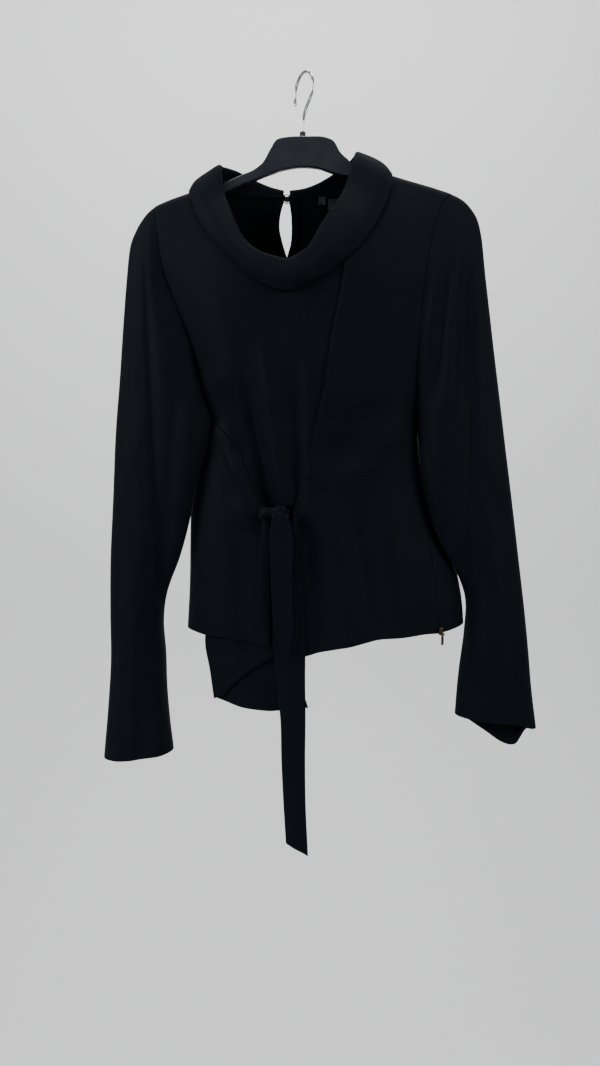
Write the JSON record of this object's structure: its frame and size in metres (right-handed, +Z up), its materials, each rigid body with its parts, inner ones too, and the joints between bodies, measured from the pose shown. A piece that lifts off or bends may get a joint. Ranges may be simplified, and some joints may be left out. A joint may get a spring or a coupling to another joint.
{
  "type": "wrap-front tunic on a hanger",
  "caption": "Black long-sleeved wrap-front tunic with a turned-over collar, a peplum and a waist tie, hanging on a plastic hanger with a metal hook.",
  "frame": {"origin": "the top of the inside of the hook, where the rail bears on it", "axes": "+Z up, -Y out of the tunic's front, +X to the viewer's right"},
  "size_m": [0.5257, 0.1196, 0.8925],
  "materials": {
    "black_crepe": "matte crepe with a faint sheen",
    "black_plastic": "satin moulded",
    "steel": "polished plating",
    "button_black": "glossy",
    "label_black": "bare woven satin",
    "label_grey": "bare woven tape",
    "dark_brass": "darkened"
  },
  "bodies": {
    "garment": {"front_drape": "black_crepe", "front_wrap": "black_crepe", "peplum_right": "black_crepe", "peplum_left": "black_crepe", "back_left": "black_crepe", "back_right": "black_crepe", "sleeve_left_front": "black_crepe", "sleeve_left_back": "black_crepe", "sleeve_right_front": "black_crepe", "sleeve_right_back": "black_crepe", "collar": "black_crepe", "waist_band": "black_crepe", "knot": "black_crepe", "tie_long": "black_crepe", "tie_short": "black_crepe", "tie_loop": "black_crepe", "lower_drape": "black_crepe", "button_loop": "black_crepe", "hanger_body": "black_plastic", "hook": "steel", "hook_ferrule": "steel", "neck_button": "button_black", "neck_label": "label_black", "size_tab": "label_grey", "zip_tape": "black_crepe", "zip_slider": "dark_brass"},
    "pull": {"zip_pull": "dark_brass"}
  },
  "joints": [
    {"name": "pull_swing", "type": "hinge", "parent": "garment", "child": "pull", "pos_m": [0.15997, -0.03969, -0.628], "axis": [0.9061, 0.4231, 0], "range_deg": [-150, 20]}
  ]
}
